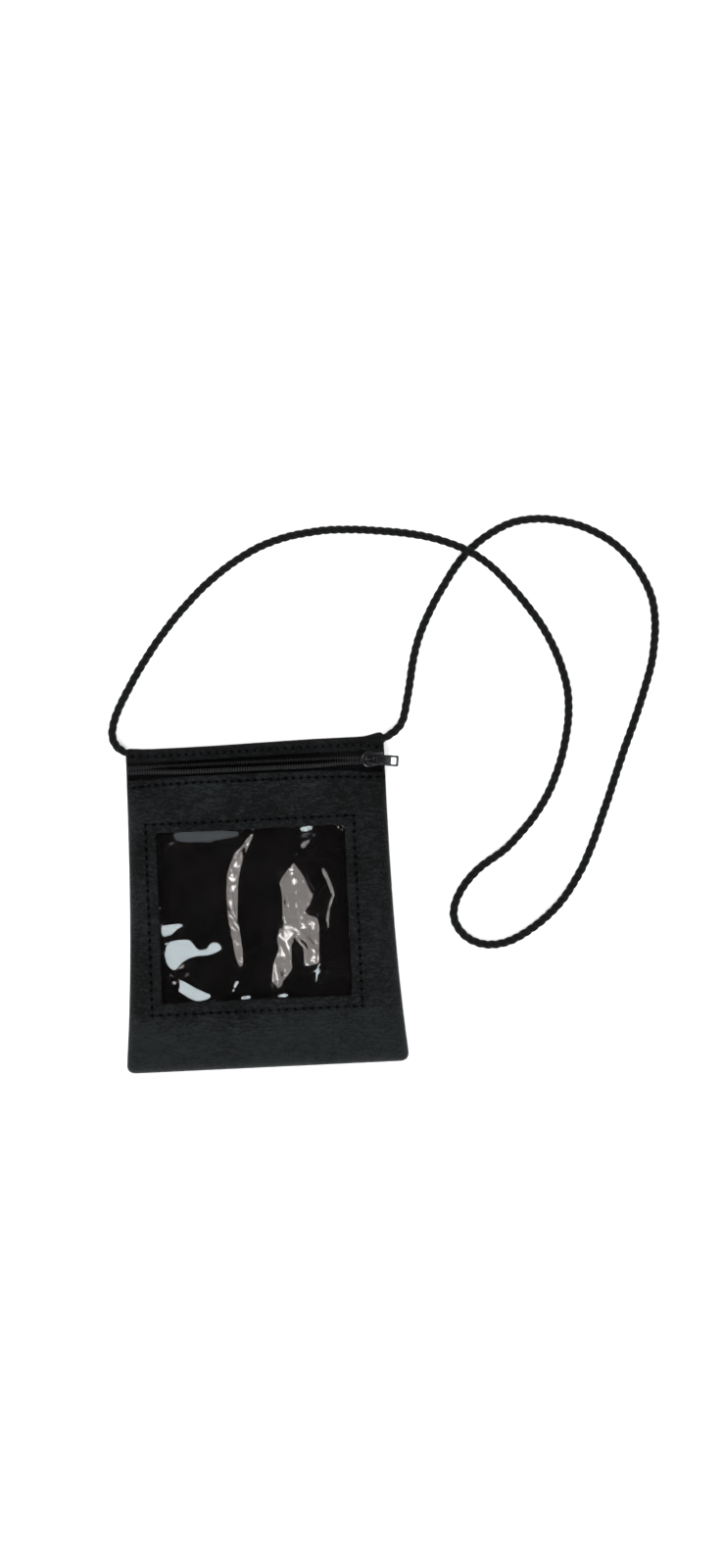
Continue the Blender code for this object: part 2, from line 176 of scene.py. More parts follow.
def smooth(value):
    """Smoothstep of an array, held between 0 and 1."""
    t = np.clip(value, 0.0, 1.0)
    return t * t * (3.0 - 2.0 * t)


def bump(x, centre, width):
    """A bell of height 1."""
    return np.exp(-((x - centre) / width) ** 2)


def ripple(x, y, scale, seed):
    """Smooth noise between about -1 and 1 over arrays of places."""
    flat = [noise.noise(Vector((a * scale, b * scale, seed))) for a, b in zip(x.ravel(), y.ravel())]
    return np.array(flat).reshape(x.shape)


# ---- the pouch's shape ----
def half_width(y):
    """Half width of the panels: straight sides that flare towards the bottom."""
    down = (TOP_Y - y) / (TOP_Y - BOTTOM_Y)
    return TOP_HALF + (BOTTOM_HALF - TOP_HALF) * down ** 3


def bend(y):
    """Share of the lip's bend made at y."""
    return smooth((y - LIP_Y) / (FOLD_Y - LIP_Y))


def gape(x):
    """Share of the mouth's gape at x."""
    return smooth((x - LIP_LEFT) / LIP_RAMP) * smooth((LIP_RIGHT - x) / LIP_RAMP)


def front_top(x, y):
    """Height of the front panel, away from its sides."""
    return POCKET_Z - (POCKET_Z - FOLD_Z) * bend(y) + LIP_RISE * bend(y) * gape(x)


def lip_weight(x, y):
    """Share of the closing lip's travel that a point of the front panel follows."""
    return bend(np.minimum(y, FOLD_Y)) * gape(x)


def side_distance(x, y):
    """Distance in from the side and bottom seams, rounded in the corners."""
    side = half_width(y) - np.abs(x)
    low = y - BOTTOM_Y
    soft = 2.0 * MM
    merged = -soft * np.log(np.exp(-side / soft) + np.exp(-low / soft))
    return np.maximum(np.minimum(merged, np.minimum(side, low)), 0.0)


def roll(distance, radius):
    """Quarter round from 0 at the seam to 1 at the radius."""
    return np.sqrt(1.0 - (1.0 - np.clip(distance / radius, 0.0, 1.0)) ** 2)


def coordinates(obj):
    """The x, y and z of a mesh's points."""
    co = np.zeros(len(obj.data.vertices) * 3)
    obj.data.vertices.foreach_get("co", co)
    return co.reshape(-1, 3).T


def dress(piece, material, slot, *nodes, body="pouch", lip=None):
    """Gives a piece its material and body, and hides the CAD nodes that it stands for.

    lip is each point's share in the closing lip's travel; only whether it is given is used: such a piece joins no body,
    with its place baked into its mesh."""
    piece.data.materials.append(material)
    if lip is None:
        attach(piece, body)
    else:
        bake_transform(piece)
    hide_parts(*nodes)


# ---- materials ----
class Nodes:
    """Shorthand for building a material."""

    def __init__(self, name):
        self.material = bpy.data.materials.new(name)
        self.material.use_nodes = True
        self.tree = self.material.node_tree
        self.shader = self.tree.nodes["Principled BSDF"]

    def put(self, socket, value):
        """Sets an input, or links another node's output to it."""
        if isinstance(value, bpy.types.NodeSocket):
            self.tree.links.new(value, socket)
        else:
            socket.default_value = (*value, 1.0) if socket.type == "RGBA" else value

    def add(self, kind, **settings):
        """A new node. Each setting is one of its properties or inputs."""
        node = self.tree.nodes.new(kind)
        for key, value in settings.items():
            if hasattr(node, key):
                setattr(node, key, value)
            else:
                self.put(node.inputs[key.replace("_", " ")], value)
        return node

    def place(self, scale=(1, 1, 1), turn=(0, 0, 0)):
        """Object coordinates in millimetres, stretched and turned."""
        where = self.add("ShaderNodeTexCoord").outputs["Object"]
        mapped = self.add("ShaderNodeMapping", vector_type="TEXTURE", Vector=where,
                          Scale=[MM / s for s in scale], Rotation=turn)
        return mapped.outputs["Vector"]

    def noise(self, vector, scale, detail=4.0, rough=0.55):
        node = self.add("ShaderNodeTexNoise", Vector=vector, Scale=scale, Detail=detail, Roughness=rough)
        return node.outputs["Fac"]

    def cells(self, vector, scale):
        node = self.add("ShaderNodeTexVoronoi", feature="DISTANCE_TO_EDGE", Vector=vector, Scale=scale)
        return node.outputs["Distance"]

    def ribs(self, vector, scale, distortion, direction="X"):
        node = self.add("ShaderNodeTexWave", bands_direction=direction, Vector=vector, Scale=scale,
                        Distortion=distortion)
        return node.outputs["Fac"]

    def attribute(self, name):
        return self.add("ShaderNodeAttribute", attribute_name=name).outputs["Fac"]

    def fit(self, value, low, high, to_low=0.0, to_high=1.0):
        """A value's range from low to high, brought to another range and held there."""
        node = self.add("ShaderNodeMapRange")
        for socket, number in zip(node.inputs, (value, low, high, to_low, to_high)):
            self.put(socket, number)
        return node.outputs["Result"]

    def math(self, operation, a, b):
        node = self.add("ShaderNodeMath", operation=operation)
        self.put(node.inputs[0], a)
        self.put(node.inputs[1], b)
        return node.outputs["Value"]

    def total(self, *terms):
        """The sum of values, each with its weight."""
        scaled = [value if weight == 1 else self.math("MULTIPLY", value, weight) for value, weight in terms]
        result = scaled[0]
        for value in scaled[1:]:
            result = self.math("ADD", result, value)
        return result

    def blend_colours(self, share, a, b):
        node = self.add("ShaderNodeMix", data_type="RGBA")
        for index, value in ((0, share), (6, a), (7, b)):
            self.put(node.inputs[index], value)
        return node.outputs[2]

    def bump(self, height, strength, depth, under=None):
        node = self.add("ShaderNodeBump", Height=height, Strength=strength, Distance=depth)
        if under is not None:
            self.put(node.inputs["Normal"], under)
        return node.outputs["Normal"]

    def surface(self, colour, rough, normal, **others):
        for name, value in dict(Base_Color=colour, Roughness=rough, Normal=normal, **others).items():
            self.put(self.shader.inputs[name.replace("_", " ")], value)
        return self.material


def leather(name, dark, light, rough=0.31):
    """Pebbled leather: drawn-out pebbles between fine creases. Its colour is darker in the creases and between the
    pebbles, partly grain tone and partly painted shade; lighter towards the bottom of the front, as painted sheen; and
    black and without gloss in the pits of the stitching, as painted shade.
    """
    n = Nodes(name)
    pebbles = n.fit(n.cells(n.place((0.62, 1.0, 1.0), (0, 0, 0.1)), 0.58), 0.0, 0.3)
    small = n.fit(n.cells(n.place((0.8, 1.0, 1.0), (0, 0, 0.5)), 1.3), 0.0, 0.24)
    drawn = n.noise(n.place((0.34, 1.0, 1.0), (0, 0, -0.08)), 0.36, 3.0, 0.6)
    creases = n.fit(n.math("ABSOLUTE", n.math("SUBTRACT", drawn, 0.5), 0.0), 0.0, 0.08)
    slow = n.noise(n.place(), 0.04, 3.0)
    grain = n.total((pebbles, 0.55), (small, 0.45))
    pits = n.attribute("painted_stitch_shade")
    # Darker in the creases and between the pebbles: partly the grain's own tone, partly painted shade.
    tone = n.total((grain, 0.8), (creases, 0.35), (n.attribute("painted_sheen_low"), 0.36), (slow, 1.1))
    # The tone also carries painted sheen: lighter towards the bottom of the front panel.
    skin = n.blend_colours(n.fit(tone, 0.97, 1.5), dark, light)
    # Painted shade: the pits and grooves of the stitching go near black, and Metallic takes their gloss away.
    colour = n.blend_colours(pits, skin, (0.0004, 0.0004, 0.0006))
    shine = n.fit(n.total((grain, 1), (slow, 1)), 0.4, 1.6, rough + 0.12, rough - 0.05)
    fine = n.bump(n.noise(n.place(), 2.4, 3.0), 0.4, 0.04 * MM)
    normal = n.bump(grain, 1.0, 0.32 * MM, n.bump(creases, 0.9, 0.3 * MM, fine))
    return n.surface(colour, n.total((shine, 1), (pits, 0.5)), normal, Specular_IOR_Level=0.05, Metallic=pits)


def suede(name):
    """The leather's flesh side: matt, fibrous, a little brown."""
    n = Nodes(name)
    fibres = n.noise(n.place((1.0, 0.4, 1.0), (0, 0, 0.5)), 2.2, 5.0, 0.7)
    patches = n.noise(n.place(), 0.05, 3.0)
    tone = n.fit(n.total((fibres, 1), (patches, 1)), 0.7, 1.3)
    colour = n.blend_colours(tone, (0.0009, 0.0004, 0.0004), (0.0050, 0.0018, 0.0020))
    return n.surface(colour, 0.85, n.bump(fibres, 0.5, 0.1 * MM), Specular_IOR_Level=0.06)


def vinyl():
    """Clear flexible sheet with the faint haze and scuffs of a used window."""
    n = Nodes("clear_vinyl")
    scuffs = n.noise(n.place((0.15, 2.0, 1.0), (0, 0, 0.7)), 0.6, 4.0)
    haze = n.noise(n.place(), 0.08, 3.0)
    rough = n.fit(n.total((scuffs, 1), (haze, 1)), 0.8, 1.4, 0.02, 0.09)
    colour = n.blend_colours(haze, (0.93, 0.94, 0.95), (0.86, 0.88, 0.9))
    normal = n.bump(n.noise(n.place(), 0.25, 2.0), 0.12, 0.05 * MM)
    return n.surface(colour, rough, normal, Transmission_Weight=1.0, IOR=1.46)


def woven(name, dark, light):
    """Twill tape: fine diagonal ribs across a fine warp."""
    n = Nodes(name)
    ribs = n.ribs(n.place((1, 1, 1), (0, 0, 0.8)), 0.75, 0.6)
    height = n.total((ribs, 1), (n.noise(n.place((3.0, 0.8, 1.0)), 1.2, 3.0), 1))
    colour = n.blend_colours(n.fit(height, 0.4, 1.5), dark, light)
    return n.surface(colour, 0.82, n.bump(height, 0.6, 0.1 * MM), Specular_IOR_Level=0.05)


def nylon():
    """Moulded nylon filament: nearly smooth with a soft shine."""
    n = Nodes("nylon_coil")
    patches = n.noise(n.place(), 0.5, 3.0)
    colour = n.blend_colours(patches, (0.0015, 0.0015, 0.0018), (0.009, 0.0095, 0.0105))
    normal = n.bump(n.noise(n.place(), 4.0, 2.0), 0.2, 0.02 * MM)
    return n.surface(colour, n.fit(patches, 0.3, 0.7, 0.28, 0.42), normal, Specular_IOR_Level=0.2)


def thread():
    """Twisted sewing thread."""
    n = Nodes("black_thread")
    height = n.total((n.ribs(n.place((1, 1, 1), (0, 0.4, 0.6)), 1.6, 1.0), 1), (n.noise(n.place(), 3.0, 4.0), 1))
    colour = n.blend_colours(n.fit(height, 0.4, 1.4), (0.0004, 0.0004, 0.0005), (0.0020, 0.0020, 0.0024))
    return n.surface(colour, 0.7, n.bump(height, 0.5, 0.05 * MM), Specular_IOR_Level=0.12)


def cord_fibre():
    """Filament yarns in each strand: fine ribs along it, with stray lighter fibres."""
    n = Nodes("twisted_cord")
    along = n.add("ShaderNodeUVMap", uv_map="UVMap").outputs["UV"]
    height = n.total((n.ribs(along, 2.2, 0.8, "DIAGONAL"), 1), (n.noise(along, 7.0, 4.0, 0.65), 0.8))
    tone = n.total((height, 1), (n.noise(n.place(), 0.06, 2.0), 0.6))
    colour = n.blend_colours(n.fit(tone, 0.6, 1.8), (0.0004, 0.0004, 0.0005), (0.0042, 0.0044, 0.0048))
    return n.surface(colour, 0.5, n.bump(height, 0.9, 0.2 * MM), Specular_IOR_Level=0.06)


def enamel(name, wear):
    """Black enamel over metal, worn grey where the wear attribute says."""
    n = Nodes(name)
    paint = n.noise(n.place(), 0.8, 4.0)
    ragged = n.fit(n.noise(n.place(), 1.1, 3.0), 0.3, 0.7, -0.3, 0.15)
    bare = n.fit(n.total((n.attribute("wear"), 1), (ragged, 1)), 0.3, 1.0, 0.0, wear)
    black = n.blend_colours(paint, (0.0015, 0.0015, 0.002), (0.005, 0.005, 0.006))
    colour = n.blend_colours(bare, black, (0.5, 0.5, 0.52))
    rough = n.fit(n.total((bare, 1), (paint, 1)), 0.3, 1.6, 0.13, 0.34)
    return n.surface(colour, rough, n.bump(paint, 0.12, 0.05 * MM), Specular_IOR_Level=0.2, Metallic=bare)


def floor_paint():
    """Pale matt table top."""
    n = Nodes("pale_table")
    colour = n.blend_colours(n.noise(n.place(), 0.02, 3.0), (0.92, 0.92, 0.92), (0.95, 0.95, 0.95))
    normal = n.bump(n.noise(n.place(), 0.8, 2.0), 0.05, 0.05 * MM)
    return n.surface(colour, 0.7, normal, Specular_IOR_Level=0.1)


# ---- cord ----
CORD_R = 2.0 * MM
CORD_OVER = 4.5 * MM
# Route of the cord's centre on the table, as in the CAD model, in millimetres.
CORD_ROUTE = [
    (-70.9, 83.7), (-74.9, 87.6), (-76.2, 95.0), (-71.7, 108.0), (-56.5, 133.5), (-38.0, 157.0),
    (-16.0, 177.5), (10.0, 192.5), (39.0, 198.5), (69.0, 197.5), (98.5, 192.0), (125.5, 179.0),
    (146.5, 157.5), (162.0, 132.0), (169.5, 103.5), (165.5, 74.0), (153.5, 46.5), (134.0, 24.0),
    (116.0, 11.5), (105.0, -1.5), (102.0, -13.5), (107.5, -23.5), (118.5, -28.5), (131.5, -27.0),
    (145.5, -19.5), (160.0, -7.0), (173.5, 13.0), (185.5, 40.5), (196.5, 68.5), (208.0, 96.5),
    (217.0, 125.0), (217.5, 154.5), (203.0, 180.5), (178.0, 196.0), (148.0, 199.0), (122.0, 185.5),
    (103.5, 162.0), (90.0, 135.5), (83.2, 106.0), (80.0, 93.5), (76.0, 88.0), (71.0, 84.9),
]
CORD_ENDS = ((-65.5, 81.6), (65.8, 81.9))    # where its ends are sewn in, inside the top corners
CROSSING = (120.0, 182.9)
HUMP_HALF = 45.0 * MM
LAY = 13.5 * MM              # length of one turn of the strands
STRAND_R = 1.31 * MM
STRAND_OFF = 0.95 * MM       # from the cord's centre to a strand's


def smooth_line(points, per_span):
    """A Catmull-Rom curve through points."""
    p = np.vstack([2 * points[0] - points[1], points, 2 * points[-1] - points[-2]])
    t = (np.arange(per_span) / per_span)[:, None]
    spans = []
    for a, b, c, d in zip(p, p[1:], p[2:], p[3:]):
        spans.append(0.5 * (2 * b + (c - a) * t + (2 * a - 5 * b + 4 * c - d) * t ** 2
                            + (3 * b - a - 3 * c + d) * t ** 3))
    return np.vstack(spans + [p[-2:-1]])


def even(points, step):
    """The same line with points a step apart, and their distances along it."""
    run = np.concatenate([[0], np.cumsum(np.linalg.norm(np.diff(points, axis=0), axis=1))])
    count = max(2, int(round(run[-1] / step)) + 1)
    at = np.linspace(0, run[-1], count)
    return np.stack([np.interp(at, run, points[:, k]) for k in range(points.shape[1])], 1), at


def cord_line():
    """The cord's centre: flat on the table, over itself in a long low hump, and up into the seams at its ends."""
    flat = np.array([CORD_ENDS[0]] + CORD_ROUTE + [CORD_ENDS[1]]) * MM
    line, at = even(smooth_line(flat, 24), 0.85 * MM)
    for _ in range(6):
        line[1:-1] = (line[:-2] + 2 * line[1:-1] + line[2:]) / 4
    half = len(line) // 2
    gaps = np.linalg.norm(line[:half] - np.array(CROSSING) * MM, axis=1)
    over = at[int(gaps.argmin())]
    height = CORD_R + 0.02 * MM + CORD_OVER * smooth(1.0 - np.abs(at - over) / HUMP_HALF)
    to_end = np.minimum(at, at[-1] - at)
    height += (SEAM_Z + 0.3 * MM - CORD_R) * smooth(1.0 - (to_end - 3 * MM) / (10 * MM))
    return np.column_stack([line, height]), at


def frames(line):
    """Sideways and upward unit vectors along a line that lies nearly flat."""
    tangent = unit(np.gradient(line, axis=0))
    side = unit(np.cross([0.0, 0.0, 1.0], tangent))
    return side, np.cross(tangent, side)


def rings_round(line, side, up, radius, sides):
    """Rings of points round a line. radius is a number or one for each point."""
    radius = np.broadcast_to(np.asarray(radius, float), (len(line),))[:, None, None]
    turn = np.arange(sides) / sides * 2 * math.pi
    ring = np.cos(turn)[None, :, None] * side[:, None, :] + np.sin(turn)[None, :, None] * up[:, None, :]
    return line[:, None, :] + radius * ring


def tube_points(line, radius, sides):
    """Rings of points round a line that lies nearly flat."""
    return rings_round(line, *frames(line), radius, sides)


def tube_mesh(rings, first=0):
    """Points and faces of a closed tube from its rings."""
    count, sides, _ = rings.shape
    points = rings.reshape(-1, 3)
    faces = grid_faces(count, sides, wrap_columns=True, first=first)
    faces.append([first + k for k in range(sides)])
    faces.append([first + (count - 1) * sides + k for k in range(sides)][::-1])
    return points, faces


def fix_normals(obj):
    """Turns every face outwards."""
    bm = bmesh.new()
    bm.from_mesh(obj.data)
    bmesh.ops.recalc_face_normals(bm, faces=bm.faces[:])
    bm.to_mesh(obj.data)
    bm.free()
    return obj


def add_cord():
    """Three strands laid right-handed round the cord's centre."""
    line, at = cord_line()
    side, up = frames(line)
    from_end = np.minimum(at, at[-1] - at)
    full = 0.82 + 0.18 * smooth(from_end / (9 * MM))    # squeezed where it enters the corners
    sides = 10
    per_strand = len(line) * sides
    points, faces = [], []
    for k in range(3):
        phase = at / LAY * 2 * math.pi + k * 2 * math.pi / 3
        away = np.cos(phase)[:, None] * side + np.sin(phase)[:, None] * up
        wobble = 1.0 + 0.03 * np.sin(at / (7.3 * MM) + 2.1 * k)
        strand = line + away * (STRAND_OFF * full)[:, None]
        strand_points = tube_points(strand, STRAND_R * full * wobble, sides)
        strand_points[..., 2] = np.maximum(strand_points[..., 2], 0.02 * MM)
        more, more_faces = tube_mesh(strand_points, first=k * per_strand)
        points.append(more)
        faces += more_faces
    cord = link_mesh("neck_cord_strands", np.vstack(points), faces)
    uv = cord.data.uv_layers.new(name="UVMap")
    for polygon in cord.data.polygons:
        numbers = [cord.data.loops[i].vertex_index % per_strand for i in polygon.loop_indices]
        around = [n % sides for n in numbers]
        wraps = max(around) - min(around) > sides / 2
        for i, n, a in zip(polygon.loop_indices, numbers, around):
            u = (a + sides if wraps and a < sides / 2 else a) / sides
            uv.data[i].uv = (u * 3.0, at[n // sides] / MM * 0.55)
    fix_normals(cord)
    dress(cord, cord_fibre(), "twisted_cord", "neck_cord", "cord_anchor_left", "cord_anchor_right")


add_camera()
add_cord()


# ---- leather panels ----
PER_SIDE = 220               # points along each side of the front panel
BOTTOM_CORNER = 4.5 * MM     # radius


def row_mark(across, along, pitch):
    """How deep in a row of stitching a place is, from 0 to 1: a groove, with a round pit at each needle hole."""
    beside = (np.mod(along / pitch + 0.5, 1.0) - 0.5) * pitch
    pits = np.exp(-((across / (0.82 * MM)) ** 2 + (beside / (0.95 * MM)) ** 2) ** 2)
    return np.maximum(pits, 0.35 * np.exp(-(across / (0.6 * MM)) ** 2))


def front_mark(x, y):
    """Marks of the stitching round the window and along the zip."""
    from_side = np.minimum(np.abs(x - stitch_low.x), np.abs(x - stitch_high.x))
    from_row = np.minimum(np.abs(y - stitch_low.y), np.abs(y - stitch_high.y))
    level = from_row <= from_side
    beyond = np.maximum(np.maximum(stitch_low.x - x, x - stitch_high.x),
                        np.maximum(stitch_low.y - y, y - stitch_high.y))
    wide, tall = stitch_high.x - stitch_low.x, stitch_high.y - stitch_low.y
    pitch = np.where(level, wide / round(wide / STITCH), tall / round(tall / STITCH))
    along = np.where(level, x - stitch_low.x, y - stitch_low.y)
    window = row_mark(np.where(level, from_row, from_side), along, pitch) * (beyond < 0.8 * MM)
    return np.maximum(window, row_mark(y - front_row(x), x, ZIP_STITCH))


def store(obj, name, values):
    """Keeps a number for each of a mesh's points, for its material to read."""
    attribute = obj.data.attributes.new(name, "FLOAT", "POINT")
    attribute.data.foreach_set("value", np.asarray(values, np.float32))


def front_row(x):
    """The stitching below the zip, which drops a little towards both ends."""
    return FOLD_Y - (2.8 + 0.8 * smooth((x / MM - 40) / 25) + 0.7 * smooth((-55 - x / MM) / 12)) * MM


def front_height(x, y):
    """Height of the front panel's top face."""
    seam = SEAM_Z + 0.3 * MM
    full = front_top(x, y)
    z = seam + (full - seam) * roll(side_distance(x, y), 6.5 * MM)
    z = z - 0.75 * MM * front_mark(x, y) * smooth(side_distance(x, y) / (4 * MM))
    inner = smooth((side_distance(x, y) - 1 * MM) / (8 * MM))
    waves = 0.28 * ripple(x, y, 32.0, 1.7) + 0.12 * ripple(x * 0.6, y, 95.0, 5.1)
    crumple = np.exp(-(((x - 52 * MM) / (13 * MM)) ** 2 + ((y + 72 * MM) / (9 * MM)) ** 2))
    folds = ripple(x + 0.6 * y, y, 240.0, 9.3) * crumple * 0.3
    pucker = 0.12 * np.sin(y / (4.3 * MM)) * np.exp(-(side_distance(x, y) / (3 * MM)) ** 2)
    return z + (waves + folds + pucker) * inner * MM + pucker * 0.5 * MM


def round_off(x, y, x_low, x_high, y_low, y_high, radius):
    """Moves the corners of a border onto quarter circles, whose centres the limits give."""
    cx, cy = np.clip(x, x_low, x_high), np.clip(y, y_low, y_high)
    off_x, off_y = x - cx, y - cy
    corner = (np.abs(off_x) > 1e-9) & (np.abs(off_y) > 1e-9)
    scale = np.where(corner, radius / np.maximum(np.hypot(off_x, off_y), 1e-12), 1.0)
    return cx + off_x * scale, cy + off_y * scale


def rounded_frame(left, low, right, high, radius):
    """Points round a rectangle with round corners, counter-clockwise from its lower left corner."""
    corners = np.array([(left, low), (right, low), (right, high), (left, high), (left, low)])
    share = (np.arange(PER_SIDE) / PER_SIDE)[:, None]
    p = np.vstack([start + (end - start) * share for start, end in zip(corners, corners[1:])])
    x, y = round_off(p[:, 0], p[:, 1], left + radius, right - radius, low + radius, high - radius, radius)
    return np.column_stack([x, y])


def closed_sheet(name, top, thickness, wrap):
    """A closed sheet of leather from its top face: an underside, and round edges along the first and last columns.

    top is rows x columns x 3, thickness is one number or one for each point, and wrap joins the rows in a ring."""
    normal = surface_normals(top, wrap)
    if normal[..., 2].mean() < 0:
        normal = -normal
    thick = np.broadcast_to(np.asarray(thickness, float), top.shape[:2])[..., None]
    under = top - normal * thick

    def edge(column, inward):
        out = unit(top[:, column] - top[:, inward])
        middle = (top[:, column] + under[:, column]) / 2
        half = thick[:, column] / 2
        return [middle + half * (math.cos(a) * normal[:, column] + 0.8 * math.sin(a) * out)
                for a in (math.pi * k / 4 for k in (1, 2, 3))]

    first, last = edge(0, 1), edge(-1, -2)
    loop = [top[:, k] for k in range(top.shape[1])] + last
    loop += [under[:, k] for k in range(top.shape[1] - 1, -1, -1)] + first[::-1]
    points = np.stack(loop, 1)
    rows, columns, _ = points.shape
    faces = grid_faces(rows, columns, wrap_rows=wrap, wrap_columns=True)
    if not wrap:
        faces.append(list(range(columns)))
        faces.append([(rows - 1) * columns + k for k in range(columns)][::-1])
    return fix_normals(link_mesh(name, points.reshape(-1, 3), faces))


def paint_inside(obj, material, test):
    """Gives the faces that pass a test, by centre and normal, a second material."""
    obj.data.materials.append(material)
    for polygon in obj.data.polygons:
        if test(polygon.center, polygon.normal):
            polygon.material_index = 1


def add_front_panel(skin, flesh):
    """The front: a ring of leather from the window's edge out to the seams and the fold at the zip."""
    inner = rounded_frame(stitch_low.x + WINDOW_HEM + 0.3 * MM, stitch_low.y + WINDOW_HEM + 0.9 * MM,
                          stitch_high.x - WINDOW_HEM, stitch_high.y - WINDOW_HEM + 0.5 * MM, 1.6 * MM)
    outer = rounded_frame(-TOP_HALF, BOTTOM_Y, TOP_HALF, FOLD_Y, BOTTOM_CORNER)
    square = rounded_frame(-TOP_HALF, BOTTOM_Y, TOP_HALF, FOLD_Y, 1.0 * MM)
    outer = np.where((outer[:, 1] > 0)[:, None], square, outer)
    outer[:, 0] *= half_width(outer[:, 1]) / TOP_HALF
    wavy = 0.25 * MM * ripple(outer[:, 0], outer[:, 0] * 0, 60.0, 3.0)
    wavy -= 1.8 * MM * smooth((outer[:, 0] - 45 * MM) / (22 * MM))
    outer[:, 1] += wavy * smooth((outer[:, 1] - FOLD_Y + 14 * MM) / (14 * MM))
    share = np.linspace(0.0, 1.0, 56)
    share = share - 0.035 * np.sin(share * 2 * math.pi)
    plan = inner[:, None, :] + (outer - inner)[:, None, :] * share[None, :, None]
    x, y = plan[..., 0], plan[..., 1]
    top = np.dstack([x, y, front_height(x, y)])
    hemmed = smooth((y - (FOLD_Y - 5.5 * MM)) / (1.0 * MM))
    panel = closed_sheet("front_leather", top, LEATHER + 0.9 * MM * hemmed, True)
    x, y, z = coordinates(panel)
    dress(panel, skin, "leather_front", "front_panel", lip=lip_weight(x, y))
    paint_inside(panel, flesh, lambda c, n: n.z < -0.3)
    # Painted shade: the depth of the stitching's marks, which the leather paints black.
    store(panel, "painted_stitch_shade", front_mark(x, y))
    # Painted sheen: the front is lightened towards its bottom.
    store(panel, "painted_sheen_low", smooth((-50 * MM - y) / (22 * MM)))


def add_back_panel(skin, flesh):
    """The back: flat where it lies, with edges that turn up to the seam."""
    columns, rows = 96, 110
    a, b = np.meshgrid(np.linspace(-1, 1, rows), np.linspace(-1, 1, columns), indexing="ij")
    middle = (TOP_Y + BOTTOM_Y) / 2
    half = (TOP_Y - BOTTOM_Y) / 2
    level = np.maximum(np.abs(a), np.abs(b))
    corner = BOTTOM_CORNER * level ** 4
    wide, tall = level * TOP_HALF - corner, level * half - corner
    x, y = round_off(b * TOP_HALF, a * half, -wide, wide, -tall, tall, corner)
    y = middle + y
    x = x * half_width(y) / TOP_HALF
    y = y + (top_edge(x) - TOP_Y) * smooth((y - REAR_COIL_Y) / (TOP_Y - REAR_COIL_Y))
    edge = np.minimum(side_distance(x, y), np.maximum(top_edge(x) - y, 0.0))
    z = SEAM_Z * (1.0 - roll(edge, 4.5 * MM))
    outer = np.dstack([x, y, z])
    normal = surface_normals(outer)
    if normal[rows // 2, columns // 2, 2] < 0:
        normal = -normal
    inner = outer + normal * LEATHER
    border = [(0, j) for j in range(columns)]
    border += [(i, columns - 1) for i in range(1, rows)]
    border += [(rows - 1, j) for j in range(columns - 2, -1, -1)]
    border += [(i, 0) for i in range(rows - 2, 0, -1)]
    count = rows * columns
    lip = [(outer[i, j] + inner[i, j]) / 2 + np.array([0, 0, 0.35 * MM]) for i, j in border]
    points = np.vstack([outer.reshape(-1, 3), inner.reshape(-1, 3), lip])
    faces = grid_faces(rows, columns) + [f[::-1] for f in grid_faces(rows, columns, first=count)]
    for k, (i, j) in enumerate(border):
        m, n = border[(k + 1) % len(border)]
        near, far = 2 * count + k, 2 * count + (k + 1) % len(border)
        faces.append([i * columns + j, m * columns + n, far, near])
        faces.append([near, far, count + m * columns + n, count + i * columns + j])
    panel = fix_normals(link_mesh("back_leather", points, faces))
    dress(panel, skin, "leather_back", "back_panel", "seam_thread_left", "seam_thread_right", "seam_thread_bottom",
          "seam_thread_top")
    paint_inside(panel, flesh, lambda c, n: n.z > 0.3 and c.z > 0.6 * MM and c.z < SEAM_Z - 0.4 * MM)


def strip_fold(x):
    """The strip's folded edge: it climbs to the right, and is drawn down at the slider."""
    x = x / MM
    climb = 1.1 * smooth((x + 45) / 85) + 0.5 * bump(x, -68, 8) - 1.6 * smooth((x - 56) / 10)
    return strip_low.y + (climb - 0.8) * MM


def top_edge(x):
    """The pouch's top edge, drawn up to the cord at its right corner."""
    x = x / MM
    return TOP_Y + (0.7 * bump(x, -68, 7) + 1.4 * smooth((x + 45) / 90) + 1.9 * bump(x, 67.5, 6) - 0.9) * MM


def add_strip(skin):
    """The strip above the zip, thicker along its folded edge."""
    x, share = grid(-TOP_HALF, TOP_HALF, 220, 26)
    rim = top_edge(x) - 1.3 * MM * smooth((np.abs(x) - 67.2 * MM) / (2.0 * MM))
    y = strip_fold(x) + (rim - strip_fold(x)) * share
    edge = np.minimum(top_edge(x) - y, TOP_HALF + 0.02 * MM - np.abs(x))
    z = SEAM_Z + 0.3 * MM + (strip_high.z + 0.2 * MM - SEAM_Z - 0.3 * MM) * roll(np.maximum(edge, 0), 3.0 * MM)
    z = z - 0.35 * MM * row_mark(y - strip_fold(x) - 3.0 * MM, x, ZIP_STITCH)
    z = z + 0.15 * MM * ripple(x, y, 60.0, 2.2) * smooth(edge / (2 * MM))
    hemmed = 1.0 - smooth((share - 0.55) / 0.1)
    strip = closed_sheet("strip_leather", np.dstack([x, y, z]), (LEATHER + 0.25 * MM * hemmed) * 0.85, False)
    dress(strip, skin, "leather_strip", "top_strip")
    x, y, z = coordinates(strip)
    # Painted shade: the depth of the stitching's marks, which the leather paints black.
    store(strip, "painted_stitch_shade", row_mark(y - strip_fold(x) - 3.0 * MM, x, ZIP_STITCH))


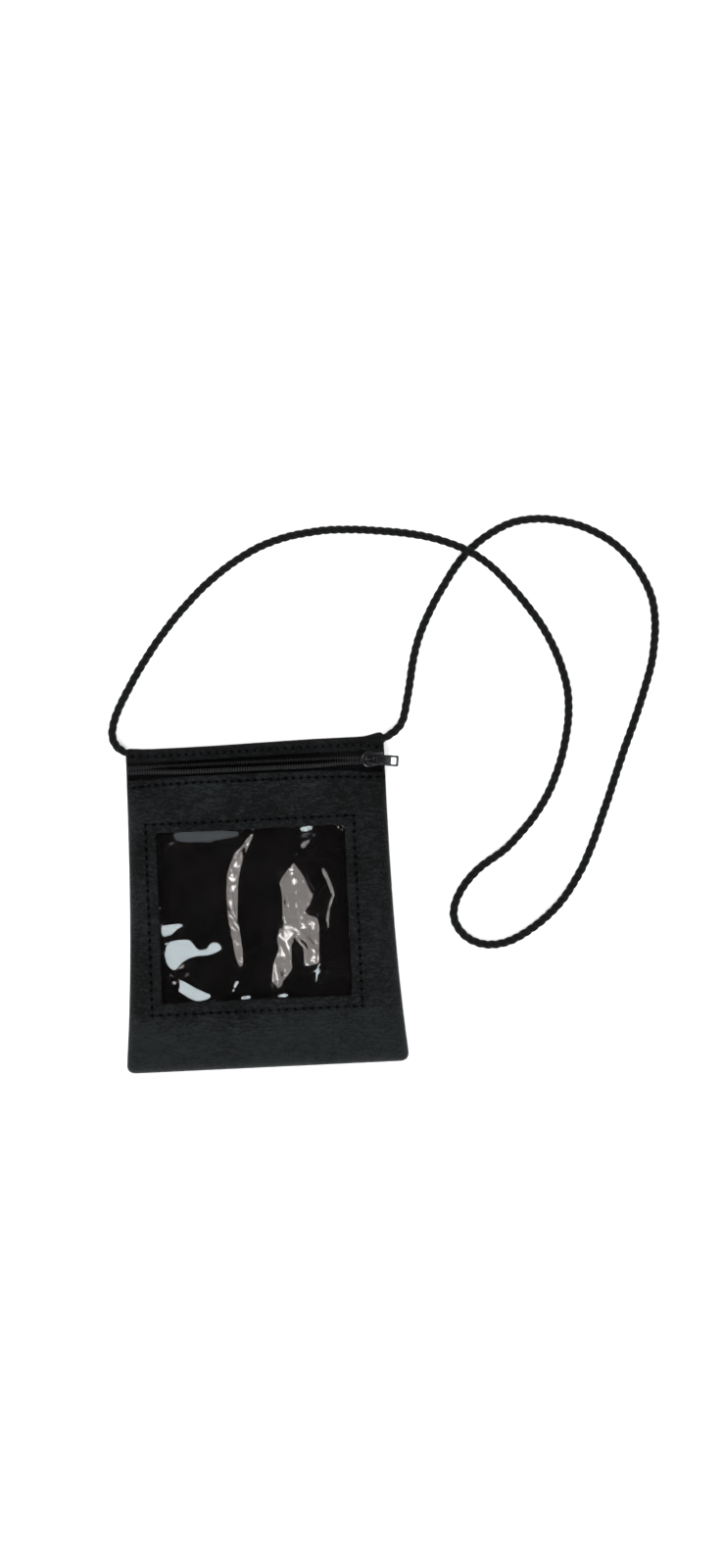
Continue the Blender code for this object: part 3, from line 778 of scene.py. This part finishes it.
# ---- window ----
# Slack places in the vinyl, in mm: each has the lamp that it faces, and a stroke along it of x, y and half width,
# or its outline where there are no widths.
BUCKLES = [
    ("left", [(-2.8, 35.0, 0.7), (-6.6, 29.8, 1.7), (-11.6, 23.0, 2.8), (-14.2, 15.0, 3.3), (-15.4, 3.0, 3.1),
              (-15.0, -9.8, 2.7), (-13.3, -21.6, 2.2), (-12.1, -31.6, 1.9)]),
    ("left", [(18.7, 18.7), (25.7, 8.4), (28.6, 3.3), (26.6, -2.4), (21.2, -6.2), (24.6, -9.0), (30.0, -9.4),
              (30.4, -16.6), (29.8, -34.4), (22.0, -34.6), (21.8, -24.8), (17.6, -20.5), (14.8, -23.3), (14.6, -33.1),
              (15.7, -35.6), (9.8, -42.7), (6.6, -45.8), (3.6, -42.5), (4.8, -33.9), (7.2, -27.8), (7.6, -19.2),
              (10.5, -9.5), (11.8, 1.6), (9.8, 9.2), (12.6, 14.0)]),
    ("left", [(34.4, 14.6, 1.3), (37.0, 7.0, 1.2), (38.6, 1.5, 0.9), (36.0, -5.0, 0.7), (34.8, -10.6, 0.9),
              (35.2, -16.0, 0.5)]),
    ("left", [(38.8, 39.0, 0.5), (42.4, 37.4, 0.9), (45.8, 35.6, 0.4)]),
    ("left", [(21.0, 26.8, 0.6), (24.4, 29.2, 1.1), (28.0, 31.3, 0.7)]),
    ("front", [(23.9, 37.2, 1.4), (27.2, 37.9, 1.9)]),
    ("front", [(-53.0, -9.6), (-40.8, -9.8), (-45.0, -12.6), (-48.8, -15.4), (-50.4, -18.4), (-53.0, -15.0)]),
    ("front", [(-51.6, -18.6), (-49.0, -18.0), (-40.6, -17.8), (-37.2, -19.6), (-35.8, -24.0), (-33.8, -24.9),
               (-29.4, -23.9), (-27.2, -20.7), (-24.2, -20.0), (-22.0, -22.0), (-22.8, -24.8), (-26.0, -26.6),
               (-31.0, -27.2), (-36.4, -27.6), (-40.6, -28.8), (-43.8, -31.8), (-47.2, -35.0), (-50.8, -32.4)]),
    ("front", [(-44.8, -38.4), (-37.8, -42.9), (-28.8, -48.2), (-29.5, -51.6), (-38.1, -50.5), (-45.3, -45.0)]),
    ("front", [(-12.0, -50.4, 0.7), (-8.6, -49.8, 1.2)]),
    ("front", [(7.4, -50.2, 0.7), (10.6, -49.8, 1.1)]),
    ("front", [(-16.9, -47.4, 0.4), (-14.3, -41.2, 0.8)]),
    ("rear", [(-42.0, 35.8, 2.6), (-25.0, 35.6, 3.2), (-12.0, 36.6, 1.6)]),
]
VINYL_STEP = 0.7 * MM
VINYL_THICK = 0.28 * MM
SETTLE_ROUNDS = 500
GUARD_ROUNDS = 10


def segment_gap(x, y, ax, ay, bx, by):
    """The nearest place on a segment, as a share of it, and the distance to it."""
    length = (bx - ax) ** 2 + (by - ay) ** 2
    t = np.clip(((x - ax) * (bx - ax) + (y - ay) * (by - ay)) / length, 0.0, 1.0)
    return t, np.hypot(x - ax - t * (bx - ax), y - ay - t * (by - ay))


def stroke_distance(x, y, stroke):
    """Distance from a round-ended stroke, or from an outline where the points have no radius: negative inside."""
    best = np.full(x.shape, 1e9)
    if len(stroke[0]) == 3:
        for (ax, ay, ar), (bx, by, br) in zip(stroke, stroke[1:]):
            t, away = segment_gap(x, y, ax, ay, bx, by)
            best = np.minimum(best, away - (ar + t * (br - ar)))
        return best
    inside = np.zeros(x.shape, bool)
    for (ax, ay), (bx, by) in zip(stroke, stroke[1:] + stroke[:1]):
        best = np.minimum(best, segment_gap(x, y, ax, ay, bx, by)[1])
        side = (x - ax) * (by - ay) - (y - ay) * (bx - ax)
        inside ^= ((ay > y) != (by > y)) & (side * (by - ay) < 0.0)
    return np.where(inside, -best, best)


def facing_slope(x, y, lamp):
    """Slopes that make the vinyl mirror a lamp to the eye."""
    eye = np.array(scene.camera.matrix_world.translation)
    view = np.stack([eye[0] - x, eye[1] - y, np.full(x.shape, eye[2] - sheet_high.z)], -1)
    half = unit(view) + unit(np.array(LAMPS[lamp][0]))
    return -half[..., 0] / half[..., 2], -half[..., 1] / half[..., 2]


def settle(slope_x, slope_y, weight, free):
    """The sheet whose slopes come nearest to the wanted ones, level outside its free part, by conjugate gradients."""
    weight_x = (weight[1:] + weight[:-1]) / 2
    weight_y = (weight[:, 1:] + weight[:, :-1]) / 2

    def gather(across, along):
        total = np.zeros(free.shape)
        total[1:] += across
        total[:-1] -= across
        total[:, 1:] += along
        total[:, :-1] -= along
        return total * free

    def pull(height):
        return gather(weight_x * np.diff(height, axis=0), weight_y * np.diff(height, axis=1))

    wanted_x = (slope_x[1:] + slope_x[:-1]) / 2 * VINYL_STEP
    wanted_y = (slope_y[:, 1:] + slope_y[:, :-1]) / 2 * VINYL_STEP
    left = gather(weight_x * wanted_x, weight_y * wanted_y)
    height, step = np.zeros(free.shape), left.copy()
    size = (left * left).sum()
    for _ in range(SETTLE_ROUNDS):
        pulled = pull(step)
        share = size / (step * pulled).sum()
        height += share * step
        left -= share * pulled
        smaller = (left * left).sum()
        step = left + smaller / size * step
        size = smaller
    return height


def add_window(material):
    """The clear sheet: its buckles mirror the lamps to the eye, and the rest of it is kept from doing so."""
    rows = int((sheet_high.x - sheet_low.x) / VINYL_STEP) + 1
    columns = int((sheet_high.y - sheet_low.y) / VINYL_STEP) + 1
    x, y = np.meshgrid(sheet_low.x + VINYL_STEP * np.arange(rows), sheet_low.y + VINYL_STEP * np.arange(columns),
                       indexing="ij")
    slope_x, slope_y, loose = np.zeros(x.shape), np.zeros(x.shape), np.zeros(x.shape)
    weight = np.full(x.shape, 0.03)
    ragged = 0.4 * ripple(x, y, 160.0, 7.7)
    for lamp, stroke in BUCKLES:
        distance = stroke_distance(x / MM, y / MM, stroke) + ragged
        inside = distance < 0.0
        if lamp == "left":
            loose = np.maximum(loose, smooth(-distance / 2.5))
        to_x, to_y = facing_slope(x, y, lamp)
        slope_x[inside] = to_x[inside]
        slope_y[inside] = to_y[inside]
        weight[inside] = 1.0
    buckled = weight > 0.5
    edge = np.minimum(np.minimum(x - stitch_low.x, stitch_high.x - x), np.minimum(y - stitch_low.y, stitch_high.y - y))
    free = (edge > WINDOW_HEM * 0.6).astype(float)
    wave = settle(slope_x, slope_y, weight, free)
    for _ in range(GUARD_ROUNDS):
        now_x, now_y = np.gradient(wave, VINYL_STEP)
        for lamp in ("left", "front", "rear"):
            to_x, to_y = facing_slope(x, y, lamp)
            off_x, off_y = now_x - to_x, now_y - to_y
            off = np.hypot(off_x, off_y) + 1e-9
            reach = math.radians(LAMPS[lamp][2]) / 4 * 1.25
            facing = (off < reach) & ~buckled
            slope_x[facing] = (to_x + off_x / off * reach * 1.15)[facing]
            slope_y[facing] = (to_y + off_y / off * reach * 1.15)[facing]
            weight[facing] = 2.5
        wave = settle(slope_x, slope_y, weight, free)
    wave += 0.17 * MM * loose * ripple(x + 0.5 * y, y, 120.0, 8.8)
    z = sheet_high.z - 0.25 * MM + wave
    sheet = closed_sheet("window_vinyl", np.dstack([x, y, z]), VINYL_THICK, False)
    dress(sheet, material, "clear_vinyl", "window_sheet")


# ---- stitching ----
STITCH_LIFT = 0.3 * MM


def stitch_row(name, places):
    """Stitches between successive places: each a short thread that rises out of one hole and dips into the next."""
    points, faces = [], []
    for a, b in zip(places, places[1:]):
        a, b = np.array(a), np.array(b)
        share = np.linspace(0.1, 0.9, 9)[:, None]
        line = a + (b - a) * share
        arch = np.sin(np.linspace(0.0, math.pi, 9)) ** 0.6
        line[:, 2] += STITCH_LIFT * (arch * 1.25 - 0.85)
        radius = 0.27 * MM * (0.75 + 0.25 * arch)
        more, more_faces = tube_mesh(tube_points(line, radius, 7), first=sum(len(p) for p in points))
        points.append(more)
        faces += more_faces
    return fix_normals(link_mesh(name, np.vstack(points), faces))


def add_stitching(material):
    """Stitches round the window and on both sides of the zip."""
    left, right, low, high = stitch_low.x, stitch_high.x, stitch_low.y, stitch_high.y
    corners = [(left, low), (right, low), (right, high), (left, high), (left, low)]
    ring = []
    for (ax, ay), (bx, by) in zip(corners, corners[1:]):
        count = round(math.hypot(bx - ax, by - ay) / STITCH)
        for k in range(count):
            ring.append((ax + (bx - ax) * k / count, ay + (by - ay) * k / count))
    ring.append(ring[0])
    ring = np.array(ring)
    z = front_height(ring[:, 0], ring[:, 1])
    window = stitch_row("window_stitches", np.column_stack([ring, z]))
    dress(window, material, "black_thread", "window_stitching")
    x = np.arange(-16, 17) * ZIP_STITCH
    y = front_row(x)
    front = stitch_row("zip_stitches_front", np.column_stack([x, y, front_height(x, y)]))
    dress(front, material, "black_thread", "zip_stitching_front", lip=lip_weight(*coordinates(front)[:2]))
    y = strip_fold(x) + 3.0 * MM
    z = np.full_like(x, strip_high.z - 0.05 * MM)
    rear = stitch_row("zip_stitches_rear", np.column_stack([x, y, z]))
    dress(rear, material, "black_thread", "zip_stitching_rear")


# ---- zip ----
COIL_PITCH = 1.35 * MM
TAPE_THICK = 0.32 * MM
TAPE_DROP = 0.95 * MM        # from a coil's centre down to its tape


def rear_coil_place(x):
    """Place across the zip and height of the rear coil."""
    return np.full_like(x, REAR_COIL_Y), np.full_like(x, COIL_Z)


def front_coil_place(x):
    """Place across the zip and height of the front coil at rest."""
    w = gape(x)
    return FRONT_COIL_SHUT_Y - lip_shift.y * w, COIL_Z + LIP_RISE * w


def coil(name, centre, mirror):
    """A nylon filament wound into flat turns round a core cord, one side of the zip."""
    steps = 14
    turns = int((COIL_RIGHT - COIL_LEFT) / COIL_PITCH)
    angle = np.arange(turns * steps + 1) / steps * 2 * math.pi
    x = COIL_LEFT + COIL_PITCH * angle / (2 * math.pi)
    y, z = centre(x)
    lean = 0.22 * COIL_PITCH * np.cos(angle)
    line = np.column_stack([x + lean, y + mirror * 1.12 * MM * np.cos(angle), z + 0.68 * MM * np.sin(angle)])
    tangent = unit(np.gradient(line, axis=0))
    away = line - np.column_stack([x, y, z])
    side = unit(away - (away * tangent).sum(1, keepdims=True) * tangent)
    head = 1.0 + 0.22 * np.maximum(np.cos(angle), 0.0) ** 4
    points, faces = tube_mesh(rings_round(line, side, np.cross(tangent, side), 0.34 * MM * head, 7))
    core_x = np.linspace(COIL_LEFT, COIL_RIGHT, 120)
    core_y, core_z = centre(core_x)
    core = np.column_stack([core_x, core_y - mirror * 0.15 * MM, core_z])
    more, more_faces = tube_mesh(tube_points(core, 0.36 * MM, 8), first=len(points))
    return fix_normals(link_mesh(name, np.vstack([points, more]), faces + more_faces))


def add_zip(tape_material, coil_material):
    """The two coils and the two tapes. The front ones are shaped to the lip's gape at rest."""
    rear = coil("coil_rear", rear_coil_place, -1.0)
    dress(rear, coil_material, "nylon_coil", "zip_coil_rear")
    front = coil("coil_front", front_coil_place, 1.0)
    dress(front, coil_material, "nylon_coil", "zip_coil_front", lip=gape(coordinates(front)[0]))

    x, share = grid(COIL_LEFT, COIL_RIGHT, 150, 8)
    y = REAR_COIL_Y - 0.3 * MM + (rear_tape_high.y - REAR_COIL_Y) * share
    z = COIL_Z - TAPE_DROP + 0.9 * MM * smooth(share / 0.3)
    tape = closed_sheet("tape_rear", np.dstack([x, y, z]), TAPE_THICK, False)
    dress(tape, tape_material, "nylon_tape", "zip_tape_rear")

    x, share = grid(COIL_LEFT, COIL_RIGHT, 150, 22)
    coil_y, coil_z = front_coil_place(x)
    y = FOLD_Y - 7 * MM + (coil_y + 0.3 * MM - FOLD_Y + 7 * MM) * share
    z = front_top(x, np.minimum(y, FOLD_Y)) - 2.5 * MM
    z = np.where(y > FOLD_Y - 1 * MM, z + (coil_z - TAPE_DROP - z) * smooth((y - FOLD_Y + 1 * MM) / (2.2 * MM)), z)
    tape = closed_sheet("tape_front", np.dstack([x, y, z]), TAPE_THICK, False)
    dress(tape, tape_material, "nylon_tape", "zip_tape_front", lip=lip_weight(*coordinates(tape)[:2]))


# ---- slider and tab ----
def arc(centre, radius, start, end, steps):
    """Points along an arc, with its ends in degrees."""
    turns = [math.radians(start + (end - start) * i / steps) for i in range(steps + 1)]
    return [(centre[0] + radius * math.cos(t), centre[1] + radius * math.sin(t)) for t in turns]


def prism(bm, outline, z_low, z_high, inset=0.0, crown=0.0):
    """Adds a plate with an outline to a bmesh. Its top is inset and raised by the crown."""
    face = bm.faces.new([bm.verts.new((x, y, z_low)) for x, y in outline])
    made = bmesh.ops.extrude_face_region(bm, geom=[face])
    top = [v for v in made["geom"] if isinstance(v, bmesh.types.BMVert)]
    bmesh.ops.translate(bm, verts=top, vec=(0, 0, z_high - z_low))
    if inset:
        lid = [f for f in made["geom"] if isinstance(f, bmesh.types.BMFace)]
        bmesh.ops.inset_region(bm, faces=lid, thickness=inset, depth=crown, use_even_offset=True)


def add_slider(material):
    """The slider's two plates, its flanges, its post and the bail over the pull tab's bar."""
    x0 = slider_low.x + 4.4 * MM
    y0 = (slider_low.y + slider_high.y) / 2
    nose = arc((0.0, 0.0), 4.35 * MM, 105, 255, 16)
    waist = [(2.2 * MM, -3.75 * MM), (4.2 * MM, -3.35 * MM), (6.2 * MM, -3.55 * MM), (7.1 * MM, -3.5 * MM),
             (7.3 * MM, -2.9 * MM)]
    outline = nose + waist + [(x, -y) for x, y in reversed(waist)]
    shorter = [(min(x, 4.9 * MM) * 0.95, y * 0.95) for x, y in outline]
    bm = bmesh.new()
    prism(bm, outline, 1.32 * MM, 1.75 * MM, inset=0.55 * MM, crown=0.32 * MM)
    prism(bm, shorter, -1.72 * MM, -1.32 * MM)
    body = fix_normals(bm_object("slider_shell", bm))
    rim = body.modifiers.new("rim", "BEVEL")
    rim.width = 0.14 * MM
    rim.segments = 2
    rim.angle_limit = math.radians(25)
    add_box(body, (-3.4, -1.0, -1.5), (-1.6, -0.2, 1.5))
    for y in (-3.25, 2.75):
        add_box(body, (1.9, y, 0.55), (5.3, y + 0.5, 1.6))
        add_box(body, (1.9, y, -1.6), (5.3, y + 0.5, -0.55))
    add_bail(body)
    mesh = evaluated_mesh(body)
    body.modifiers.clear()
    body.data = mesh
    body.data.transform(Matrix.Translation((x0, y0, COIL_Z)))
    body.data.shade_smooth()
    body.data.set_sharp_from_angle(angle=math.radians(35))
    x, y, z = coordinates(body)
    away = np.hypot(x - x0, y - y0) / MM
    store(body, "wear", 0.75 * np.clip((away - 3.3) / 1.2, 0.0, 1.0) * np.where(z > COIL_Z + 1.4 * MM, 1.0, 0.2))
    dress(body, material, "black_enamel", "slider_body", body="slider")


def bm_object(name, bm):
    """A new mesh object from a bmesh, which it frees."""
    mesh = bpy.data.meshes.new(name)
    bm.to_mesh(mesh)
    bm.free()
    obj = bpy.data.objects.new(name, mesh)
    scene.collection.objects.link(obj)
    return obj


def add_box(body, low, high):
    """Adds a small bevelled block, corners in millimetres, to a piece's mesh."""
    bm = bmesh.new()
    low, high = Vector(low) * MM, Vector(high) * MM
    made = bmesh.ops.create_cube(bm, size=1.0)
    bmesh.ops.scale(bm, vec=high - low, verts=made["verts"])
    bmesh.ops.translate(bm, vec=(low + high) / 2, verts=made["verts"])
    bmesh.ops.bevel(bm, geom=bm.edges[:], offset=0.08 * MM, segments=2, affect="EDGES")
    bm.from_mesh(body.data)
    bm.to_mesh(body.data)
    bm.free()


def add_bail(body):
    """The bail: a flat strap that arches over the tab's bar from the nose to the tail."""
    line = np.array([(-2.5, 0, 1.5), (-2.5, 0, 2.6), (-2.2, 0, 3.5), (-1.3, 0, 3.95), (0.3, 0, 4.0), (1.9, 0, 3.95),
                     (2.6, 0, 3.5), (2.85, 0, 2.6), (2.85, 0, 1.5)]) * MM
    line = smooth_line(line, 5)
    side = np.array([0.0, 1.0, 0.0])
    up = np.cross(unit(np.gradient(line, axis=0)), side)
    turn = np.arange(12) / 12 * 2 * math.pi
    wide, thick = 0.82 * MM, 0.36 * MM
    cos, sin = np.cos(turn), np.sin(turn)
    across = np.sign(cos) * np.abs(cos) ** 0.5 * wide
    deep = np.sign(sin) * np.abs(sin) ** 0.5 * thick
    rings = line[:, None, :] + across[None, :, None] * side + deep[None, :, None] * up[:, None, :]
    strap = fix_normals(link_mesh("bail", *tube_mesh(rings)))
    bm = bmesh.new()
    bm.from_mesh(body.data)
    bm.from_mesh(strap.data)
    bm.to_mesh(body.data)
    bm.free()
    bpy.data.objects.remove(strap, do_unlink=True)


def evaluated_mesh(obj):
    """The mesh that an object makes with its modifiers or its curve's settings."""
    graph = bpy.context.evaluated_depsgraph_get()
    return bpy.data.meshes.new_from_object(obj.evaluated_get(graph))


def add_tab(material):
    """The pull tab: a thin plate, an eye round the bail at one end and a rectangular hole at the other."""
    pivot = Vector(joints["tab_swing"]["pos_m"])
    axis = Vector(joints["tab_swing"]["axis"])
    skew = math.atan2(-axis.x, -axis.y)
    bar = 0.45 * MM
    end = 16.2 * MM
    half = 0.42 * MM
    outline = [(-bar, -2.3 * MM), (5.5 * MM, -2.55 * MM), (end - 1.0 * MM, -2.9 * MM), (end - 0.3 * MM, -2.75 * MM),
               (end, -2.2 * MM)]
    outline += [(x, -y) for x, y in reversed(outline)]
    curve = bpy.data.curves.new("tab_outline", "CURVE")
    curve.dimensions = "2D"
    curve.fill_mode = "BOTH"
    curve.extrude = half - 0.14 * MM
    curve.bevel_depth = 0.14 * MM
    curve.bevel_resolution = 2
    eye = (bar + 0.14 * MM, 4.8 * MM, 1.5 * MM)
    hole = (end - 4.05 * MM, end - 1.15 * MM, 2.0 * MM)
    loops = [outline]
    for left, right, tall in (eye, hole):
        r = 0.45 * MM
        loop = arc((left + r, -tall + r), r, 180, 270, 3) + arc((right - r, -tall + r), r, 270, 360, 3)
        loop += arc((right - r, tall - r), r, 0, 90, 3) + arc((left + r, tall - r), r, 90, 180, 3)
        loops.append(loop)
    for loop in loops:
        spline = curve.splines.new("POLY")
        spline.points.add(len(loop) - 1)
        for point, (x, y) in zip(spline.points, loop):
            point.co = (x, y, 0, 1)
        spline.use_cyclic_u = True
    drawn = bpy.data.objects.new("tab_outline", curve)
    scene.collection.objects.link(drawn)
    bm = bmesh.new()
    bm.from_mesh(evaluated_mesh(drawn))
    bpy.data.objects.remove(drawn, do_unlink=True)
    bmesh.ops.remove_doubles(bm, verts=bm.verts, dist=0.002 * MM)
    bmesh.ops.recalc_face_normals(bm, faces=bm.faces[:])
    tab = bm_object("tab_plate", bm)
    x, y, z = coordinates(tab)
    worn = np.where(x > end - 4.4 * MM, 0.95, 0.12)
    store(tab, "wear", worn * np.where(np.abs(z) < half * 0.9, 1.0, 0.72))
    tab.data.transform(Matrix.Translation(pivot) @ Matrix.Rotation(-skew, 4, "Z"))
    tab.data.shade_smooth()
    tab.data.set_sharp_from_angle(angle=math.radians(40))
    dress(tab, material, "worn_tab", "pull_tab", body="tab")


# ---- stage ----
def add_stage():
    """The table, the studio's light and the lamps."""
    floor = link_mesh("table_top", [(-3, -3, -0.0003), (3, -3, -0.0003), (3, 3, -0.0003), (-3, 3, -0.0003)],
                      [(0, 1, 2, 3)], rounded=False)
    floor.data.materials.append(floor_paint())
    world = bpy.data.worlds.new("studio")
    world.use_nodes = True
    tree = world.node_tree
    where = tree.nodes.new("ShaderNodeTexCoord")
    parts = tree.nodes.new("ShaderNodeSeparateXYZ")
    fade = tree.nodes.new("ShaderNodeMapRange")
    for index, number in zip((1, 2, 3, 4), (0.42, 0.7, 1.0, 0.03)):
        fade.inputs[index].default_value = number
    tree.links.new(where.outputs["Generated"], parts.inputs["Vector"])
    tree.links.new(parts.outputs["Z"], fade.inputs["Value"])
    tree.links.new(fade.outputs["Result"], tree.nodes["Background"].inputs["Strength"])
    tree.nodes["Background"].inputs["Color"].default_value = (1.0, 1.0, 1.0, 1.0)
    scene.world = world
    for name, (direction, strength, spread, colour) in LAMPS.items():
        lamp = bpy.data.lights.new("lamp_" + name, "SUN")
        lamp.energy = strength
        lamp.angle = math.radians(spread)
        lamp.color = colour
        obj = bpy.data.objects.new("lamp_" + name, lamp)
        obj.rotation_mode = "QUATERNION"
        obj.rotation_quaternion = Vector(direction).to_track_quat("Z", "Y")
        scene.collection.objects.link(obj)


front_skin = leather("leather_front", (0.0006, 0.0007, 0.0008), (0.0062, 0.0076, 0.0083))
flesh_side = suede("leather_flesh_side")
add_back_panel(leather("leather_back", (0.0008, 0.0009, 0.0010), (0.0062, 0.0074, 0.0080), 0.36), flesh_side)
add_front_panel(front_skin, flesh_side)
add_strip(leather("leather_strip", (0.0004, 0.0005, 0.0006), (0.0036, 0.0042, 0.0047)))
add_window(vinyl())
add_stitching(thread())
add_zip(woven("nylon_tape", (0.0005, 0.0005, 0.0006), (0.0025, 0.0025, 0.0029)), nylon())
add_slider(enamel("black_enamel", 0.08))
add_tab(enamel("worn_tab", 0.16))
add_stage()
